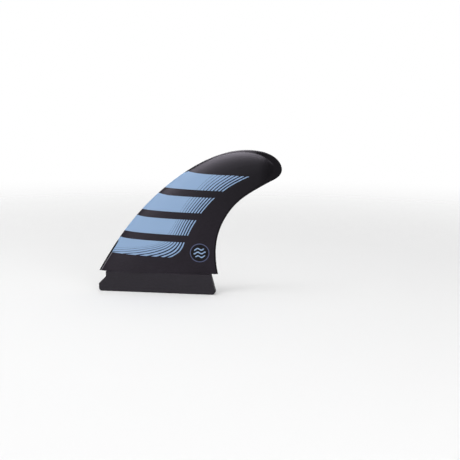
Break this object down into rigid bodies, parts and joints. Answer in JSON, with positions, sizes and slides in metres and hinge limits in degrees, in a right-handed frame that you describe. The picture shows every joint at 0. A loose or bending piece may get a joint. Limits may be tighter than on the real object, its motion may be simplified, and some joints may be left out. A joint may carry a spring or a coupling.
{
  "type": "surfboard fin",
  "caption": "Raked side fin for a surfboard: foiled blade with a flat inner face, leaning outwards, moulded in one piece with its single fin-box tab.",
  "frame": {"origin": "on the board's surface plane, midway along the blade's base chord and midway through the tab's thickness", "axes": "+X aft, from the leading edge towards the tip; +Y towards the flat inner face; +Z out of the board, up the blade"},
  "size_m": [0.1729, 0.0153, 0.1341],
  "materials": {
    "moulded_composite": "satin black fibre composite with blue printed bands on the outer face"
  },
  "bodies": {
    "root": {"fin": "moulded_composite"}
  },
  "joints": []
}
